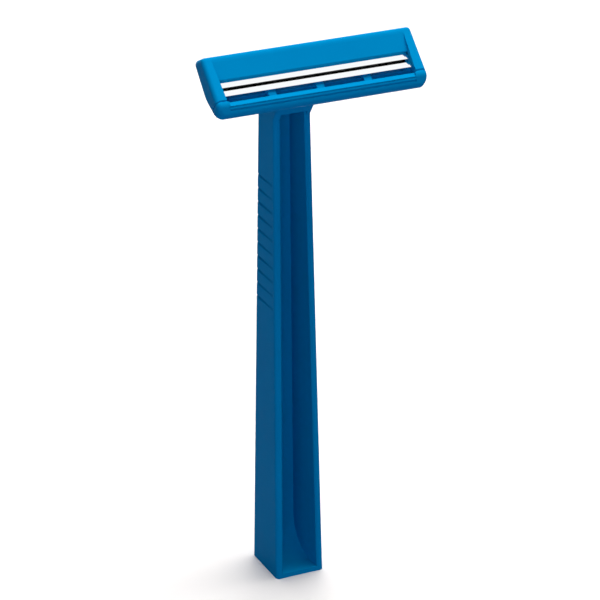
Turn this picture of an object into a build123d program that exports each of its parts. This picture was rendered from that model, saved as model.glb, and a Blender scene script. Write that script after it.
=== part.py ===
from build123d import *
from math import cos, radians, sin, tan
import os

# Fixed-head disposable razor, millimetres.
# +Z runs up the handle, +X along the blades, and the blades face -Y.
# The origin is the centre of the handle's flat foot.

# ---- handle ----
foot_width = 10.05        # across X at the foot
foot_depth = 11.5         # across Y at the foot
neck_width = 7.55         # across X where the neck bends
neck_depth = 7.6          # across Y where the neck bends
neck_setback = 1.15       # how far the middle of the neck stands behind the middle of the foot
grip_height = 94.9        # foot to neck bend
corner_radius = 0.7       # long edges of the handle
side_wall = 1.35          # channel side wall at its free edge
back_wall = 1.3
foot_wall = 1.0
channel_reach = 1.1       # how far the channel runs on above the neck bend
channel_draft = 2.0       # degrees, each side wall
channel_scoop = 7.0       # where the floor of the channel turns up into its back
rim_bevel = 0.25          # free edges of the channel

# ---- finger grooves on both sides of the handle ----
groove_count = 10
groove_pitch = 2.77
groove_first = 56.7       # height of the lowest groove
groove_depth = 0.42       # at the back edge, running out towards the front
groove_fade = 0.05        # share of the depth left at the front end
groove_height = 0.75
groove_stop = 1.1         # plain strip left beside the front edge

# ---- neck and head placing ----
neck_lean = 35.0          # degrees from upright, front of the neck above the bend
head_reach = 8.89         # top edge of the face in front of the handle's centre line
head_rise = 16.6          # top edge of the face above the neck bend
face_lean = 47.6          # degrees between the face and the upright
neck_spread = 9.8         # width of the neck where it meets the head
neck_waist = 8.1          # width of the neck half way up
neck_bulge = 2.7          # rounding of the back of the neck
neck_inset = 0.15         # back of the neck in front of the back of the seat
neck_sink = 1.0           # how far the neck runs on into the seat

# ---- head, each corner of its section: down the face, below the face ----
head_length = 41.8
rear_corner = (-1.5, 3.84)
keel_corner = (6.35, 4.5)
guard_heel = (11.4, 2.8)
guard_nose = (11.6, 1.25)
guard_brow = (9.95, 0)    # where the guard leaves the level of the face
rear_round = 0.95
keel_round = 6.0
guard_heel_round = 0.8
guard_nose_round = 0.9
guard_brow_round = 1.55
edge_radius = 0.8         # end edges of the cap and the guard, top edge of the cap
corner_round = 1.8        # corners of the guard, seen square to the face
split_gap = 0.03          # between the cap and the guard
split_bevel = 0.2         # bevels that open the split into a small groove
fit_gap = 0.05            # clearance between the cap and the seat it wraps

# ---- cap ----
rail_length = 9.02        # face length down to the split with the guard
rail_back = 1.78          # width of the end rails at the top edge of the face
rail_front = 2.17         # width of the end rails at the split
panel_start = 0.85        # where the cap panel leaves the level of the rails
panel_round = 3.0
panel_end = 4.54          # front lip of the cap panel
panel_drop = 0.78         # depth of the lip below the rails
lip_radius = 0.12
skirt_wall = 0.7          # front of the rear skirt, down the face

# ---- blades ----
blade_angle = 20.0        # degrees between the blades and the face
blade_width = 5.6
blade_thickness = 0.1
blade_bevel = 0.6
spacer_thickness = 0.37
spacer_setback = 1.1      # front of the spacer behind the upper cutting edge
upper_edge = (6.15, 0.6)  # upper cutting edge: down the face, below the face
blade_step = 1.71         # how far the lower cutting edge leads the upper one

# ---- rivets of the cap ----
rivet_places = (-14.0, -7.0, 7.0, 14.0)
rivet_diameter = 1.4
rivet_setback = 2.5       # rivet centre behind the upper cutting edge
rivet_root = 0.3          # how far a rivet runs into the panel
rivet_land = 1.4          # seat thickness under a rivet head
rivet_head_diameter = 2.3
rivet_head_height = 0.45
rivet_hole_gap = 0.05     # clearance round a rivet
rivet_head_gap = 0.15     # clearance round a rivet head

# ---- seat, posts, ledge and rinse slots ----
seat_setback = 0.8        # front of the seat behind the lower cutting edge
post_places = (-9.5, 0.0, 9.5)
post_width = 1.5
post_drop = 1.0           # tops of the posts below the face
post_bite = 0.4           # how far posts and webs run into the seat and the guard
slot_width = 0.62         # rinse slots between the seat and the ledge
ledge_drop = 1.9          # top of the ledge below the face
ledge_wall = 1.1
end_web = 1.0             # web at each end of the row of slots

# ---- guard strip between the smooth end blocks ----
guard_back = 9.27         # back face of the guard, down the face
guard_block = 2.45        # length of each smooth end block
strip_drop = 0.4          # back edge of the strip below the face
strip_crest = (10.15, 0.17)  # front edge of the upper tread
step_foot = (10.2, 0.37)  # back of the lower tread
step_front = (10.75, 0.51)  # where the lower tread has run out through the slope of the guard
long_groove = (10.75, 0.61)  # middle of the groove in front of the treads
long_groove_radius = 0.2


tolerance = 0.01          # for picking edges by where they lie

# The head has its own section plane: x runs down the face from its top edge, y runs into the head.
lean = radians(face_lean)
down_face = Vector(0, -sin(lean), -cos(lean))
into_head = Vector(0, cos(lean), -sin(lean))
face_top = Vector(0, -head_reach, grip_height + head_rise)
head_section = Plane(origin=face_top, x_dir=down_face, z_dir=(1, 0, 0))
head_face = Plane(origin=face_top, x_dir=(1, 0, 0), z_dir=into_head * -1)


def on_head(down, deep):
    return face_top + down_face * down + into_head * deep


# The blades lie on planes turned from the face by blade_angle.
turn = radians(blade_angle)
blade_normal = down_face * -sin(turn) + into_head * -cos(turn)
blade_back = down_face * -cos(turn) + into_head * sin(turn)
upper_tip = on_head(*upper_edge)
stack_step = spacer_thickness + blade_thickness
lower_tip = upper_tip - blade_back * blade_step - blade_normal * stack_step
half_head = head_length / 2
beyond = head_length      # reaches past the head in every direction


def down_of(edge):
    return (edge.center() - face_top).dot(down_face)


def deep_of(edge):
    return (edge.center() - face_top).dot(into_head)


def at_end(edge):
    """True for the edges of the two end faces of the head."""
    return abs(edge.center().X) > half_head - tolerance


def runs_down(edge):
    """True for an edge with one end further down the face than the other."""
    return abs((edge @ 1 - edge @ 0).dot(down_face)) > tolerance


def blade_plane(depth):
    """Plane parallel to the blades, x along the edge and y towards the back of the head."""
    return Plane(origin=upper_tip - blade_normal * depth, x_dir=(1, 0, 0), z_dir=blade_normal)


def depth_under(down, below):
    """Depth into the head of a plane parallel to the blades, below the top of the upper blade."""
    return upper_edge[1] + (upper_edge[0] - down) * tan(turn) + below / cos(turn)


def strip_section(tip):
    """Section plane of a blade: x from the cutting edge to the back, y out of the top face."""
    return Plane(origin=tip, x_dir=blade_back, z_dir=(1, 0, 0))


def bay_outline(clearance):
    """Outline between the end rails on the head_face plane, in from the rails by the clearance."""
    points = []
    for down in (-rail_length, 2 * rail_length):
        half = half_head - rail_back - (rail_front - rail_back) * down / rail_length - clearance
        points += [(half, -down), (-half, -down)]
    return points[0], points[1], points[3], points[2]


def head_outline(start, stop):
    """Draw the section of the head between two distances down the face."""
    corners = (rear_corner, keel_corner, guard_heel, guard_nose, guard_brow)
    rounds = (rear_round, keel_round, guard_heel_round, guard_nose_round, guard_brow_round)
    made = Polygon((0, 0), *corners, align=None)
    for corner, radius in zip(corners, rounds):
        made = fillet(made.vertices().sort_by_distance(corner)[0], radius)
    band = ((start, -beyond), (stop, -beyond), (stop, beyond), (start, beyond))
    Polygon(*band, align=None, mode=Mode.INTERSECT)


os.makedirs("parts", exist_ok=True)


# ---- handle moulding: grip, neck, seat and guard ----
foot_front = -foot_depth / 2
foot_back = foot_depth / 2
neck_front = neck_setback - neck_depth / 2
neck_back = neck_setback + neck_depth / 2
neck_rise = radians(neck_lean)

seat_top = spacer_thickness + 2 * blade_thickness
seat_back = skirt_wall + fit_gap
seat_front = upper_edge[0] + (blade_step - seat_setback) * cos(turn) + stack_step * sin(turn)
rivet_centres = [(place, rivet_setback) for place in rivet_places]
blade_half = half_head - rail_front - fit_gap

# lines of the neck in the middle plane, front and back, from the bend to the keel of the head
neck_up = Vector(0, -sin(neck_rise), cos(neck_rise))
front_low = Vector(0, neck_front, grip_height)
to_underside = (on_head(*keel_corner) - front_low).dot(into_head) / neck_up.dot(into_head)
front_high = front_low + neck_up * to_underside
back_low = Vector(0, neck_back, grip_height)
back_high = on_head(seat_back + neck_inset, keel_corner[1])
outward = (back_high - back_low).cross(Vector(1, 0, 0)).normalized()
neck_sections = (
    (front_low, back_low, neck_width),
    ((front_low + front_high) / 2, (back_low + back_high) / 2 + outward * neck_bulge, neck_waist),
    (front_high, back_high, neck_spread),
)

with BuildPart() as channel:
    # hollow of the grip, open to the front, with bevelled free edges
    for height in (foot_wall, grip_height + channel_reach):
        share = height / grip_height
        width = foot_width + (neck_width - foot_width) * share
        front = foot_front + (neck_front - foot_front) * share
        back = foot_back + (neck_back - foot_back) * share - back_wall
        wide = width / 2 - side_wall
        mouth = wide + rim_bevel
        narrow = wide - (back - front) * tan(radians(channel_draft))
        clear = front - 2 * channel_reach
        with BuildSketch(Plane.XY.offset(height)):
            with BuildLine():
                Polyline((0, clear), (mouth, clear), (mouth, front), (wide, front + rim_bevel))
                Polyline((wide, front + rim_bevel), (narrow, back), (0, back))
                mirror(about=Plane.YZ)
            make_face()
    loft()
    fillet(faces().sort_by(Axis.Y)[-1].edges().sort_by(Axis.Z)[0], channel_scoop)

with BuildPart() as grooves:
    # wedge cutters, deepest at the back edge, running out of the handle at the side and the back
    clear = groove_depth
    groove_tall = groove_height / 2 * (clear + groove_depth) / groove_depth
    for number in range(groove_count):
        height = groove_first + number * groove_pitch
        share = height / grip_height
        half = (foot_width + (neck_width - foot_width) * share) / 2
        front = foot_front + (neck_front - foot_front) * share + groove_stop
        back = foot_back + (neck_back - foot_back) * share + corner_radius
        for side in (-1, 1):
            for y, cut in ((front, groove_depth * groove_fade), (back, groove_depth)):
                start = Plane(origin=(side * half, y, height), x_dir=(side, 0, 0), z_dir=(0, side, 0))
                with BuildSketch(start):
                    with BuildLine():
                        Polyline((clear, -groove_tall), (-cut, 0), (clear, groove_tall), close=True)
                    make_face()
            loft()

with BuildPart() as seat:
    # seat under the blades, then the posts, the end webs and the ledge that carry the guard
    with BuildSketch(head_section):
        with BuildLine():
            Polyline((seat_back, 0), (seat_front, 0), (seat_front, beyond), (seat_back, beyond), close=True)
        make_face()
    extrude(amount=half_head, both=True)
    root = seat_front - post_bite
    tip = guard_back + post_bite
    for place in post_places:
        with BuildSketch(head_section.offset(place)):
            with BuildLine():
                Polyline((root, post_drop), (tip, post_drop), (tip, beyond), (root, beyond), close=True)
            make_face()
        extrude(amount=post_width / 2, both=True)
    for side in (-1, 1):
        with BuildSketch(head_section.offset(side * (half_head - rail_front))):
            with BuildLine():
                Polyline((root, ledge_drop), (tip, ledge_drop), (tip, beyond), (root, beyond), close=True)
            make_face()
        extrude(amount=end_web, both=True)
    ledge = seat_front + slot_width
    ledge_foot = ledge_drop + ledge_wall
    with BuildSketch(head_section):
        with BuildLine():
            Polyline((tip, ledge_drop), (ledge, ledge_drop), (ledge, ledge_foot), (tip, ledge_foot))
            Line((tip, ledge_foot), (tip, ledge_drop))
        make_face()
    extrude(amount=half_head, both=True)
    # kept under the blades, inside the head and between the rails
    with BuildSketch(blade_plane(seat_top)):
        Rectangle(2 * head_length, 2 * head_length)
    extrude(amount=beyond, mode=Mode.SUBTRACT)
    with BuildSketch(head_section):
        head_outline(seat_back, tip)
    extrude(amount=half_head, both=True, mode=Mode.INTERSECT)
    with BuildSketch(head_face):
        with BuildLine():
            Polyline(*bay_outline(fit_gap), close=True)
        make_face()
    extrude(amount=beyond, both=True, mode=Mode.INTERSECT)
    with BuildSketch(blade_plane(0)):
        with Locations(*rivet_centres):
            Circle(rivet_diameter / 2 + rivet_hole_gap)
    extrude(amount=-beyond, mode=Mode.SUBTRACT)
    with BuildSketch(blade_plane(seat_top + rivet_land)):
        with Locations(*rivet_centres):
            Circle(rivet_head_diameter / 2 + rivet_head_gap)
    extrude(amount=-beyond, mode=Mode.SUBTRACT)

with BuildPart() as guard:
    with BuildSketch(head_section):
        head_outline(guard_back, beyond)
    extrude(amount=half_head, both=True)
    # end blocks, reaching back to the split with the cap beside the ledge
    block_start = rail_length + split_gap
    for side in (-1, 1):
        with BuildSketch(head_section.offset(side * (half_head - rail_front / 2))):
            head_outline(block_start, guard_back + post_bite)
        extrude(amount=rail_front / 2, both=True)
    # rounded corners, seen square to the face
    with BuildSketch(head_face):
        with Locations((0, -guard_nose[0])):
            Rectangle(head_length, 2 * guard_nose[0], align=(Align.CENTER, Align.MIN))
        fillet(vertices().group_by(Axis.Y)[0], corner_round)
    extrude(amount=beyond, both=True, mode=Mode.INTERSECT)
    inside = half_head - min(corner_round, rail_front) + tolerance
    fillet(edges().filter_by(lambda e: abs(e.center().X) > inside and runs_down(e)), edge_radius)
    split_edges = edges().filter_by(lambda e: down_of(e) < block_start + tolerance)
    chamfer(split_edges.filter_by(lambda e: abs(deep_of(e)) < tolerance), split_bevel)
    # strip between the blocks: an upper tread sunk at the back, a lower tread and a long groove
    with BuildSketch(head_section):
        with BuildLine():
            Polyline((guard_back, -beyond), (guard_back, strip_drop), strip_crest)
            Polyline(strip_crest, step_foot, step_front, (step_front[0], -beyond), (guard_back, -beyond))
        make_face()
        with Locations(long_groove):
            Circle(long_groove_radius)
    extrude(amount=half_head - guard_block, both=True, mode=Mode.SUBTRACT)

with BuildPart() as handle:
    # grip, tapering from the foot to the neck bend
    with BuildSketch(Plane.XY):
        RectangleRounded(foot_width, foot_depth, corner_radius)
    with BuildSketch(Plane.XY.offset(grip_height)):
        with Locations((0, neck_setback)):
            RectangleRounded(neck_width, neck_depth, corner_radius)
    loft()
    # neck, straight in front and rounded behind, spreading towards the head
    for front, back, width in neck_sections:
        across = Vector(1, 0, 0).cross(back - front)
        with BuildSketch(Plane(origin=(front + back) / 2, x_dir=(1, 0, 0), z_dir=across)):
            RectangleRounded(width, (back - front).length, corner_radius)
    loft()
    extrude(faces().sort_by(Axis.Z)[-1], amount=neck_sink)
    add(channel.part, mode=Mode.SUBTRACT)
    add(grooves.part, mode=Mode.SUBTRACT)
    add(seat.part)
    add(guard.part)

handle.part.label = "handle"
export_step(handle.part, "parts/handle.step")


# ---- cap moulding: panel, end rails with full-depth end walls, rear skirt and rivets ----
with BuildPart() as pocket:
    # everything between the rails that is not the panel or the rear skirt
    with BuildSketch(head_face):
        with BuildLine():
            Polyline(*bay_outline(0), close=True)
        make_face()
    extrude(amount=beyond, both=True)
    with BuildSketch(head_section):
        with BuildLine():
            Polyline(
                (0, -beyond),
                (0, 0),
                (panel_start, 0),
                (panel_end, panel_drop),
                (panel_end, depth_under(panel_end, 0)),
                (skirt_wall, depth_under(skirt_wall, 0)),
                (skirt_wall, beyond),
                (beyond, beyond),
                (beyond, -beyond),
                close=True,
            )
        make_face()
        fillet(vertices().sort_by_distance((panel_start, 0))[0], panel_round)
        fillet(vertices().sort_by_distance((panel_end, panel_drop))[0], lip_radius)
    extrude(amount=head_length, both=True, mode=Mode.INTERSECT)

with BuildPart() as cap:
    with BuildSketch(head_section):
        head_outline(-beyond, rail_length)
    extrude(amount=half_head, both=True)
    level = edges().filter_by(lambda e: abs(deep_of(e)) < tolerance)
    chamfer(level.filter_by(lambda e: down_of(e) > rail_length - tolerance), split_bevel)
    ends = edges().filter_by(at_end).filter_by(lambda e: down_of(e) < rail_length - split_bevel)
    top = edges().filter_by(lambda e: abs(deep_of(e)) < tolerance and abs(down_of(e)) < tolerance)
    fillet(ends + top, edge_radius)
    add(pocket.part, mode=Mode.SUBTRACT)
    with BuildSketch(blade_plane(-rivet_root)):
        with Locations(*rivet_centres):
            Circle(rivet_diameter / 2)
    extrude(amount=-(rivet_root + seat_top + rivet_land))
    with BuildSketch(blade_plane(seat_top + rivet_land)):
        with Locations(*rivet_centres):
            Circle(rivet_head_diameter / 2)
    extrude(amount=-rivet_head_height)

cap.part.label = "cap"
export_step(cap.part, "parts/cap.step")


# ---- blades and spacer ----
blade_section = (
    (0, -blade_thickness / 2),
    (blade_bevel, 0),
    (blade_width, 0),
    (blade_width, -blade_thickness),
    (blade_bevel, -blade_thickness),
)

with BuildPart() as upper_blade:
    with BuildSketch(strip_section(upper_tip)):
        with BuildLine():
            Polyline(*blade_section, close=True)
        make_face()
    extrude(amount=blade_half, both=True)
    with BuildSketch(blade_plane(0)):
        with Locations(*rivet_centres):
            Circle(rivet_diameter / 2 + rivet_hole_gap)
    extrude(amount=seat_top, both=True, mode=Mode.SUBTRACT)

upper_blade.part.label = "upper_blade"
export_step(upper_blade.part, "parts/upper_blade.step")

with BuildPart() as blade_spacer:
    with BuildSketch(blade_plane(blade_thickness)):
        with Locations((0, (spacer_setback + blade_width) / 2)):
            Rectangle(2 * blade_half, blade_width - spacer_setback)
        with Locations(*rivet_centres):
            Circle(rivet_diameter / 2 + rivet_hole_gap, mode=Mode.SUBTRACT)
    extrude(amount=-spacer_thickness)

blade_spacer.part.label = "blade_spacer"
export_step(blade_spacer.part, "parts/blade_spacer.step")

with BuildPart() as lower_blade:
    with BuildSketch(strip_section(lower_tip)):
        with BuildLine():
            Polyline(*blade_section, close=True)
        make_face()
    extrude(amount=blade_half, both=True)
    with BuildSketch(blade_plane(seat_top)):
        with Locations(*rivet_centres):
            Circle(rivet_diameter / 2 + rivet_hole_gap)
    extrude(amount=seat_top, both=True, mode=Mode.SUBTRACT)

lower_blade.part.label = "lower_blade"
export_step(lower_blade.part, "parts/lower_blade.step")
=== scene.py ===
import bpy, bmesh, math
from mathutils import Matrix, Vector


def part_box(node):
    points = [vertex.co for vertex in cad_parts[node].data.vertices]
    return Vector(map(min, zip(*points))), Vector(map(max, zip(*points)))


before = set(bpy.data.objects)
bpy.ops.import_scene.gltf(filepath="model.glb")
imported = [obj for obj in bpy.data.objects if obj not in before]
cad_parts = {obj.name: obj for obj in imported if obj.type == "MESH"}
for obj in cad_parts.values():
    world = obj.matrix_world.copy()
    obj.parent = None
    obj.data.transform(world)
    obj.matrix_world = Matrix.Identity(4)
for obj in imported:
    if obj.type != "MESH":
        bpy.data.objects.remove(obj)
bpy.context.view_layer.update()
print("frame loaded:", ", ".join(sorted(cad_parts)))

mm = 0.001      # one millimetre in metres


class Value:
    # wraps a socket, so that an expression on it adds the Math nodes
    def __init__(self, tree, socket):
        self.tree = tree
        self.socket = socket

    def math(self, operation, *values, clamp=False):
        node = self.tree.nodes.new("ShaderNodeMath")
        node.operation = operation
        node.use_clamp = clamp
        for slot, value in zip(node.inputs, values):
            if isinstance(value, Value):
                self.tree.links.new(value.socket, slot)
            else:
                slot.default_value = value
        return Value(self.tree, node.outputs[0])

    def __add__(self, other):
        return self.math("ADD", self, other)

    def __radd__(self, other):
        return self.math("ADD", other, self)

    def __sub__(self, other):
        return self.math("SUBTRACT", self, other)

    def __rsub__(self, other):
        return self.math("SUBTRACT", other, self)

    def __mul__(self, other):
        return self.math("MULTIPLY", self, other)

    def __rmul__(self, other):
        return self.math("MULTIPLY", other, self)

    def __truediv__(self, other):
        return self.math("DIVIDE", self, other)

    def __rtruediv__(self, other):
        return self.math("DIVIDE", other, self)

    def __abs__(self):
        return self.math("ABSOLUTE", self)

    def __mod__(self, other):
        return self.math("FLOORED_MODULO", self, other)

    def __rmod__(self, other):
        return self.math("FLOORED_MODULO", other, self)

    def clamped(self):
        return self.math("ADD", self, 0.0, clamp=True)

    def between(self, low, high):
        # 0 below low, 1 above high, smooth in between
        part = ((self - low) / (high - low)).clamped()
        return part * part * (3.0 - 2.0 * part)

    def larger(self, other):
        return self.math("MAXIMUM", self, other)


class Shader:
    # one node tree, and the one way in which its other nodes are added
    def __init__(self, owner):
        owner.use_nodes = True
        self.tree = owner.node_tree
        self.tree.nodes.clear()

    def node(self, kind, settings=None, inputs=None, output=None):
        # the type, then the settings, then the values or links of the sockets
        node = self.tree.nodes.new(kind)
        for key, value in (settings or {}).items():
            setattr(node, key, value)
        for key, value in (inputs or {}).items():
            socket = node.inputs[key]
            if isinstance(value, Value):
                self.tree.links.new(value.socket, socket)
            elif socket.type == "RGBA":
                socket.default_value = (*value, 1.0)
            else:
                socket.default_value = value
        if output is None:
            return node
        return Value(self.tree, node.outputs[output])

    def place(self):
        return self.node("ShaderNodeTexCoord", output="Object")

    def along(self, direction):
        # distance from the origin along a direction, in metres
        inputs = {0: self.place(), 1: direction}
        settings = {"operation": "DOT_PRODUCT"}
        return self.node("ShaderNodeVectorMath", settings, inputs, "Value")

    def away(self):
        # distance from the origin in any direction, in metres
        settings = {"operation": "LENGTH"}
        return self.node("ShaderNodeVectorMath", settings, {0: self.place()}, "Value")

    def point(self, x, y, z):
        return self.node("ShaderNodeCombineXYZ", None, {"X": x, "Y": y, "Z": z}, "Vector")

    def noise(self, scale, detail=2.0, vector=None):
        # 0 to 1, and about 0.5 on average
        inputs = {"Vector": vector or self.place(), "Scale": scale, "Detail": detail}
        return self.node("ShaderNodeTexNoise", {"noise_dimensions": "3D"}, inputs, "Fac")

    def blend(self, factor, first, second):
        # the Mix node has sockets for each kind of data: those of colours are 6, 7 and output 2
        inputs = {0: factor, 6: first, 7: second}
        return self.node("ShaderNodeMix", {"data_type": "RGBA"}, inputs, 2)

    def bump(self, height, strength, distance):
        inputs = {"Strength": strength, "Distance": distance, "Height": height}
        return self.node("ShaderNodeBump", None, inputs, "Normal")

    def seenDirectly(self):
        # 1 for the camera, and for what shines or lets light through; 0 for plain diffuse light
        path = self.node("ShaderNodeLightPath")
        camera, glossy, through = (
            Value(self.tree, path.outputs[name])
            for name in ("Is Camera Ray", "Is Glossy Ray", "Is Transmission Ray")
        )
        return camera.larger(glossy).larger(through)

    def principled(self, inputs):
        return self.node("ShaderNodeBsdfPrincipled", None, inputs, "BSDF")

    def glow(self, kind, colour):
        # light of full strength: an Emission, or a Background in a world
        inputs = {"Color": colour, "Strength": 1.0}
        return self.node("ShaderNode" + kind, None, inputs, kind)

    def either(self, factor, first, second):
        inputs = {0: factor, 1: first, 2: second}
        return self.node("ShaderNodeMixShader", None, inputs, "Shader")

    def surface(self, shader, owner="Material"):
        self.node("ShaderNodeOutput" + owner, None, {"Surface": shader})


def rgb(red, green, blue):
    # screen colour 0 to 255 as linear colour, by the usual sRGB curve
    def linear(value):
        value = value / 255.0
        return value / 12.92 if value <= 0.04045 else ((value + 0.055) / 1.055) ** 2.4
    return tuple(linear(value) for value in (red, green, blue))


camera = {
    "place": (-0.21532, -0.46814, 0.28752),
    "heading": 24.97,       # degrees from +Y towards +X
    "downTilt": 24.116,     # degrees below level
    "roll": -0.05,
    "lens": 177.7,          # focal length and sensor width, in millimetres
    "sensor": 36.0,
    "clip": (0.01, 50.0),
}


def makeCamera(settings):
    heading = math.radians(settings["heading"])
    tilt = math.radians(settings["downTilt"])
    roll = math.radians(settings["roll"])
    level = Vector((math.sin(heading), math.cos(heading), 0.0))
    forward = math.cos(tilt) * level - math.sin(tilt) * Vector((0.0, 0.0, 1.0))
    right = Vector((math.cos(heading), -math.sin(heading), 0.0))
    up = right.cross(forward)
    turnedRight = math.cos(roll) * right + math.sin(roll) * up
    turnedUp = math.cos(roll) * up - math.sin(roll) * right
    data = bpy.data.cameras.new("camera")
    data.lens = settings["lens"]
    data.sensor_width = settings["sensor"]
    data.clip_start, data.clip_end = settings["clip"]
    made = bpy.data.objects.new("camera", data)
    bpy.context.scene.collection.objects.link(made)
    turned = Matrix((turnedRight, turnedUp, -forward)).transposed().to_4x4()
    made.matrix_world = Matrix.Translation(Vector(settings["place"])) @ turned
    bpy.context.scene.camera = made


makeCamera(camera)
print("camera placed")

studio = {
    "floorHalf": 4.0,                     # half the side of the floor, in metres
    "floorSeen": (0.83, 0.805, 0.78),     # what the camera and the steel see
    "floorBounce": (0.16, 0.18, 0.25),    # what the floor throws back on the razor
    "floorRoughness": 0.9,
    "floorFade": (0.18, 0.55),            # where the floor passes into the backdrop, in metres
    "ambient": (0.012, 0.014, 0.018),     # soft light from all round
    "backdrop": (1.0, 1.0, 1.0),
    "aim": (0.0, 0.0, 0.06),              # the point all lamps face
    "lamps": {                            # place, size, power, colour
        "topLamp": ((0.28, 0.17, 1.20), 1.2, 27.2, (1.0, 1.0, 1.0)),
        "frontLamp": ((-0.60, -1.18, 0.14), 1.3, 12.0, (0.76, 0.80, 1.0)),
        "rearLamp": ((0.30, 1.30, 0.50), 1.2, 8.0, (1.0, 1.0, 1.0)),
    },
}


def makeFloor(settings):
    material = bpy.data.materials.new("floorPaper")
    paint = Shader(material)
    seen = paint.seenDirectly()
    paper = paint.principled({
        "Base Color": paint.blend(seen, settings["floorBounce"], settings["floorSeen"]),
        "Roughness": settings["floorRoughness"],
        "Specular IOR Level": 0.0,
    })
    faded = seen * paint.away().between(*settings["floorFade"])
    backdrop = paint.glow("Emission", settings["backdrop"])
    paint.surface(paint.either(faded, paper, backdrop))
    mesh = bpy.data.meshes.new("floor")
    work = bmesh.new()
    bmesh.ops.create_grid(work, x_segments=1, y_segments=1, size=settings["floorHalf"])
    work.to_mesh(mesh)
    work.free()
    mesh.materials.append(material)
    floor = bpy.data.objects.new("floor", mesh)
    bpy.context.scene.collection.objects.link(floor)


def makeWorld(settings):
    world = bpy.data.worlds.new("studio")
    bpy.context.scene.world = world
    sky = Shader(world)
    ambient = sky.glow("Background", settings["ambient"])
    backdrop = sky.glow("Background", settings["backdrop"])
    sky.surface(sky.either(sky.seenDirectly(), ambient, backdrop), "World")


def makeLamp(name, place, size, power, colour, aim):
    data = bpy.data.lights.new(name, "AREA")
    data.shape = "SQUARE"
    data.size = size
    data.energy = power
    data.color = colour
    lamp = bpy.data.objects.new(name, data)
    bpy.context.scene.collection.objects.link(lamp)
    turned = (Vector(aim) - Vector(place)).to_track_quat("-Z", "Y").to_matrix().to_4x4()
    lamp.matrix_world = Matrix.Translation(Vector(place)) @ turned
    lamp.visible_glossy = False     # the plastic and the steel show no square highlights
    lamp.visible_camera = False


makeFloor(studio)
makeWorld(studio)
for name, (place, size, power, colour) in studio["lamps"].items():
    makeLamp(name, place, size, power, colour, studio["aim"])
bpy.context.scene.view_settings.view_transform = "Standard"
print("floor, world and lamps made")

mouldedPlastic = {                       # what the two mouldings share
    "colour": rgb(0, 136, 191),
    "deepColour": rgb(0, 134, 189),
    "toneWaves": 90.0,                   # slow change of tone, in waves per metre
    "toneDetail": 3.0,
    "toneRange": (0.35, 0.65),           # noise below is deep colour, above is colour
    "toneRoughness": 0.10,               # how much the roughness follows the tone
    "grainWaves": 2600.0,                # fine mould texture
    "grainRoughness": 0.06,
    "rippleWaves": 700.0,                # coarser mould texture under the fine one
    "rippleShare": 0.6,
    "grainStrength": 0.6,
    "ior": 1.49,
    "specular": 0.006,                   # next to no gloss; 0.5 is the usual amount
}
handlePlastic = {
    **mouldedPlastic,
    "roughness": 0.42,
    "grain": 0.006 * mm,                 # height of the mould texture
    "grooveShadeColour": rgb(0, 126, 178),    # painted shade: the grooves are coloured darker so that they look deeper
    "grooveRoughness": 0.56,
    "footHalf": 5.025 * mm,              # half width at the foot
    "neckHalf": 3.775 * mm,              # half width at the neck bend
    "footFront": -5.75 * mm,             # place of the front along Y, at the foot
    "neckFront": -2.65 * mm,             # and at the neck bend
    "neckHeight": 94.9 * mm,
    "grooves": {
        "count": 10,
        "first": 56.7 * mm,                      # height of the middle of the lowest one
        "pitch": 2.77 * mm,
        "halfWidth": (0.198 * mm, 0.36 * mm),    # full inside the first, none past the second
        "depth": (0.45 * mm, 0.6 * mm),          # how far into the side faces the painted shade goes
        "behindRim": (0.99 * mm, 1.21 * mm),     # where they begin behind the front edge
        "rowFade": 0.1 * mm,
    },
}
capPlastic = {
    **mouldedPlastic,
    "roughness": 0.38,
    "grain": 0.004 * mm,
}


def grooveShadeMask(paint, settings):
    # 1 inside the finger grooves of the two side faces; it places the painted shade and the
    # higher roughness there
    grooves = settings["grooves"]
    pitch = grooves["pitch"]
    across = abs(paint.along((1.0, 0.0, 0.0)))
    deep = paint.along((0.0, 1.0, 0.0))
    high = paint.along((0.0, 0.0, 1.0))
    # the grip tapers evenly from the foot to the neck
    share = high / settings["neckHeight"]
    side = settings["footHalf"] + (settings["neckHalf"] - settings["footHalf"]) * share
    front = settings["footFront"] + (settings["neckFront"] - settings["footFront"]) * share
    onSide = 1.0 - (side - across).between(*grooves["depth"])
    behindRim = (deep - front).between(*grooves["behindRim"])
    lowest = grooves["first"] - 0.5 * pitch
    highest = lowest + grooves["count"] * pitch
    fromMiddle = abs((high - lowest) % pitch - 0.5 * pitch)
    line = 1.0 - fromMiddle.between(*grooves["halfWidth"])
    fade = grooves["rowFade"]
    row = high.between(lowest, lowest + fade) * (1.0 - high.between(highest - fade, highest))
    return onSide * behindRim * line * row


def makePlastic(name, settings):
    material = bpy.data.materials.new(name)
    paint = Shader(material)
    tone = paint.noise(settings["toneWaves"], settings["toneDetail"])
    grain = paint.noise(settings["grainWaves"])
    ripple = paint.noise(settings["rippleWaves"])
    toned = tone.between(*settings["toneRange"])
    colour = paint.blend(toned, settings["deepColour"], settings["colour"])
    roughness = settings["roughness"] + settings["toneRoughness"] * (tone - 0.5)
    roughness = roughness + settings["grainRoughness"] * (grain - 0.5)
    if "grooves" in settings:
        shadeInGrooves = grooveShadeMask(paint, settings)
        # painted shade: a darker colour inside the grooves
        colour = paint.blend(shadeInGrooves, colour, settings["grooveShadeColour"])
        roughness = roughness + shadeInGrooves * (settings["grooveRoughness"] - settings["roughness"])
    height = grain + settings["rippleShare"] * ripple
    paint.surface(paint.principled({
        "Base Color": colour,
        "Roughness": roughness,
        "Normal": paint.bump(height, settings["grainStrength"], settings["grain"]),
        "IOR": settings["ior"],
        "Specular IOR Level": settings["specular"],
    }))
    return material


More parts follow.
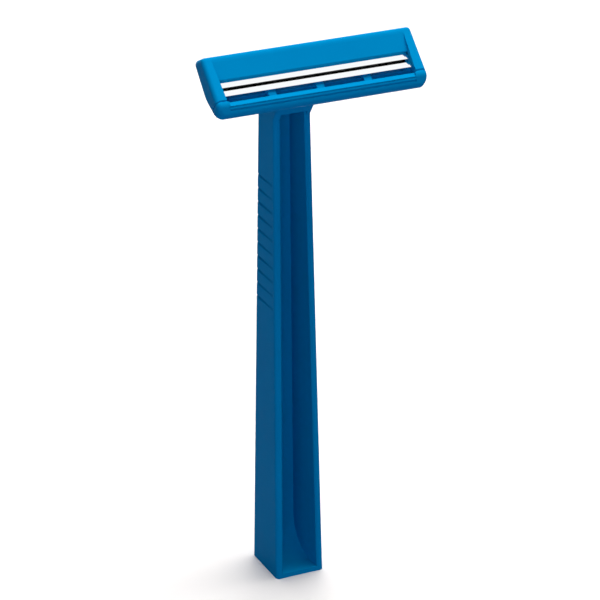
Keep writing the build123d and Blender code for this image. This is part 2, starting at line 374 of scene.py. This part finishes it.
strips = {                                # how the blades and the spacer lie in the head
    "sideways": (1.0, 0.0, 0.0),          # along the cutting edges
    "backward": (0.0, 0.92455, 0.38107),  # from a cutting edge to the back of its blade
    "upward": (0.0, -0.38107, 0.92455),   # square to the flat of a blade
}
bladeSteel = {
    "colour": (0.965, 0.985, 0.995),
    "lineColour": (0.935, 0.955, 0.97),   # in the rolling lines
    "groundColour": (0.93, 0.95, 0.965),  # on the ground bevels
    "roughness": 0.07,
    "groundRoughness": 0.10,
    "honedRoughness": 0.05,
    "ground": 0.58 * mm,                  # width of the ground bevel behind the edge
    "honed": 0.16 * mm,                   # width of the honed facet at the edge
    "bevelFade": 0.03 * mm,
    "levelFade": 0.02 * mm,               # between the lower blade's values and the upper one's
    "rolling": (60.0, 2600.0, 2600.0),    # waves per metre sideways, backward and upward
    "rollingDetail": 3.0,
    "rollingRoughness": 0.05,
    "grinding": (4200.0, 320.0, 320.0),
    "grindingDetail": 2.0,
    "lineStrength": 0.15,
    "lineHeight": 0.002 * mm,
}
spacerAluminium = {
    "colour": (0.66, 0.67, 0.70),
    "lineColour": (0.56, 0.57, 0.60),
    "roughness": 0.32,
    "rolling": (90.0, 3000.0, 3000.0),
    "rollingDetail": 4.0,
    "rollingRoughness": 0.15,
    "lineStrength": 0.3,
    "lineHeight": 0.004 * mm,
}


def streaks(paint, waves, detail):
    # noise drawn out along the strips or across them
    ways = (strips["sideways"], strips["backward"], strips["upward"])
    x, y, z = (count * paint.along(way) for count, way in zip(waves, ways))
    return paint.noise(1.0, detail, paint.point(x, y, z))


def edgeOf(node, direction):
    # where the cutting edge of a blade lies along a direction
    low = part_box(node)[0]
    return Vector((0.0, low.y, low.z)).dot(Vector(direction))


def makeSteel(name, settings):
    material = bpy.data.materials.new(name)
    paint = Shader(material)
    # a point above the middle between the two edges is on the upper blade
    upperLevel = edgeOf("upper_blade", strips["upward"])
    lowerLevel = edgeOf("lower_blade", strips["upward"])
    middle = 0.5 * (upperLevel + lowerLevel)
    fade = settings["levelFade"]
    isUpper = paint.along(strips["upward"]).between(middle - fade, middle + fade)
    upperEdge = edgeOf("upper_blade", strips["backward"])
    lowerEdge = edgeOf("lower_blade", strips["backward"])
    edge = lowerEdge + (upperEdge - lowerEdge) * isUpper
    behindEdge = paint.along(strips["backward"]) - edge
    ground, honed = (
        1.0 - behindEdge.between(settings[bevel] - settings["bevelFade"], settings[bevel])
        for bevel in ("ground", "honed")
    )
    rolling = streaks(paint, settings["rolling"], settings["rollingDetail"])
    grinding = streaks(paint, settings["grinding"], settings["grindingDetail"])
    flat = paint.blend(rolling, settings["lineColour"], settings["colour"])
    bevelled = paint.blend(grinding, settings["groundColour"], settings["colour"])
    roughness = settings["roughness"] + settings["rollingRoughness"] * (rolling - 0.5)
    roughness = roughness + ground * (settings["groundRoughness"] - settings["roughness"])
    roughness = roughness + honed * (settings["honedRoughness"] - settings["groundRoughness"])
    lines = rolling * (1.0 - ground) + grinding * ground
    paint.surface(paint.principled({
        "Base Color": paint.blend(ground, flat, bevelled),
        "Metallic": 1.0,
        "Roughness": roughness,
        "Normal": paint.bump(lines, settings["lineStrength"], settings["lineHeight"]),
    }))
    return material


def makeAluminium(name, settings):
    material = bpy.data.materials.new(name)
    paint = Shader(material)
    rolling = streaks(paint, settings["rolling"], settings["rollingDetail"])
    paint.surface(paint.principled({
        "Base Color": paint.blend(rolling, settings["lineColour"], settings["colour"]),
        "Metallic": 1.0,
        "Roughness": settings["roughness"] + settings["rollingRoughness"] * (rolling - 0.5),
        "Normal": paint.bump(rolling, settings["lineStrength"], settings["lineHeight"]),
    }))
    return material


steel = makeSteel("bladeSteel", bladeSteel)
finishes = {
    "handle": makePlastic("handlePlastic", handlePlastic),
    "cap": makePlastic("capPlastic", capPlastic),
    "upper_blade": steel,
    "lower_blade": steel,
    "blade_spacer": makeAluminium("spacerAluminium", spacerAluminium),
}
for node, finish in finishes.items():
    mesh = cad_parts[node].data
    mesh.materials.clear()
    mesh.materials.append(finish)
print("finishes on", len(finishes), "pieces")
